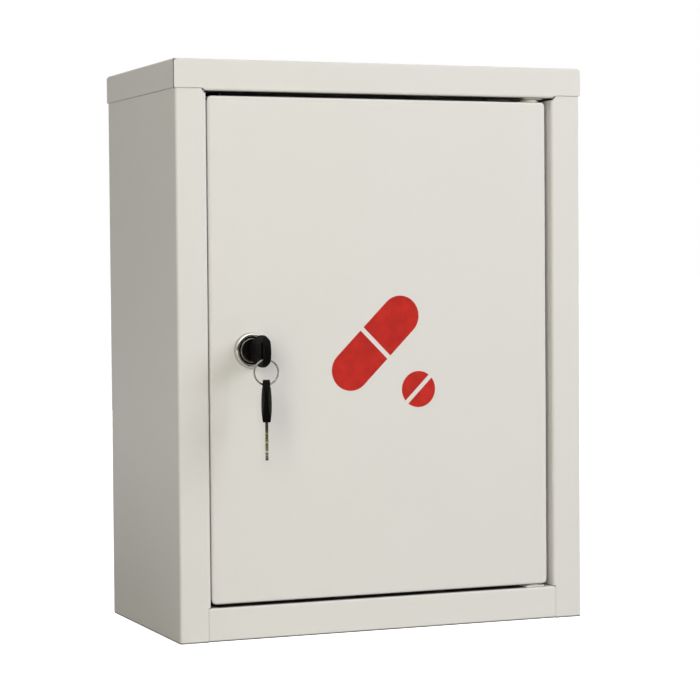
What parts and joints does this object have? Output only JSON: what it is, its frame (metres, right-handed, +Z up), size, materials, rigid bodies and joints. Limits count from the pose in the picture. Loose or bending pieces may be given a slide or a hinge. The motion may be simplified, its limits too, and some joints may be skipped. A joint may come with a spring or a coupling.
{
  "type": "lockable medicine cabinet",
  "caption": "Wall or shelf medicine cabinet of folded, painted sheet steel with an inset hinged door, a cam lock, keys on a ring and an inner shelf.",
  "frame": {"origin": "centre of the flat base, on the plane it stands on", "axes": "+Z up, -Y out of the door, +X to the viewer's right when facing the door"},
  "size_m": [0.3012, 0.1999, 0.39],
  "materials": {
    "case_paint": "warm grey-white powder coat, slightly glossy",
    "door_paint": "warm grey-white powder coat, slightly glossy",
    "bracket_paint": "beige powder coat",
    "black_steel": "black paint",
    "zinc_steel": "zinc plated",
    "washer_plastic": "natural nylon",
    "rubber": "matt",
    "nickel": "polished nickel",
    "plug": "dark nickel",
    "key_plastic": "fine moulded grain",
    "key_steel": "nickel plated",
    "spare_blade": "nickel worn to brass"
  },
  "bodies": {
    "cabinet": {"left_side_panel": "case_paint", "right_side_panel": "case_paint", "bottom_pan": "case_paint", "back_panel": "case_paint", "lid": "case_paint", "shelf": "case_paint", "left_shelf_ledge": "case_paint", "right_shelf_ledge": "case_paint", "upper_hinge_bracket": "bracket_paint", "lower_hinge_bracket": "bracket_paint", "upper_hinge_pin": "zinc_steel", "lower_hinge_pin": "zinc_steel", "lower_hinge_washer": "washer_plastic", "hinge_screws": "zinc_steel", "upper_door_stop": "black_steel", "lower_door_stop": "black_steel", "door_buffers": "rubber"},
    "door": {"door_skin": "door_paint", "door_channel": "door_paint", "upper_hinge_plate": "zinc_steel", "lower_hinge_plate": "zinc_steel", "upper_hinge_washer": "washer_plastic", "lock_housing": "nickel", "lock_nut": "nickel"},
    "lock": {"lock_plug": "plug", "lock_cam": "zinc_steel", "cam_washer": "zinc_steel", "cam_screw": "zinc_steel"},
    "key": {"key_bow": "key_plastic", "key_blade": "key_steel"},
    "key_ring": {"key_ring": "key_steel"},
    "spare_key": {"spare_key_bow": "key_plastic", "spare_key_blade": "spare_blade"}
  },
  "joints": [
    {"name": "door_hinge", "type": "hinge", "parent": "cabinet", "child": "door", "pos_m": [0.1144, -0.072, 0.1954], "axis": [0, 0, 1], "range_deg": [0, 110]},
    {"name": "lock_turn", "type": "hinge", "parent": "door", "child": "lock", "pos_m": [-0.0982, -0.0796, 0.1954], "axis": [0, 1, 0], "range_deg": [0, 90]},
    {"name": "key_withdraw", "type": "slide", "parent": "lock", "child": "key", "axis": [0, -1, 0], "range_m": [0, 0.026]},
    {"name": "ring_swing", "type": "hinge", "parent": "key", "child": "key_ring", "pos_m": [-0.0982, -0.10935, 0.1901], "axis": [1, 0, 0], "range_deg": [-60, 15]},
    {"name": "spare_key_swing", "type": "hinge", "parent": "key_ring", "child": "spare_key", "pos_m": [-0.0982, -0.10935, 0.1734], "axis": [1, 0, 0], "range_deg": [-30, 5]}
  ]
}
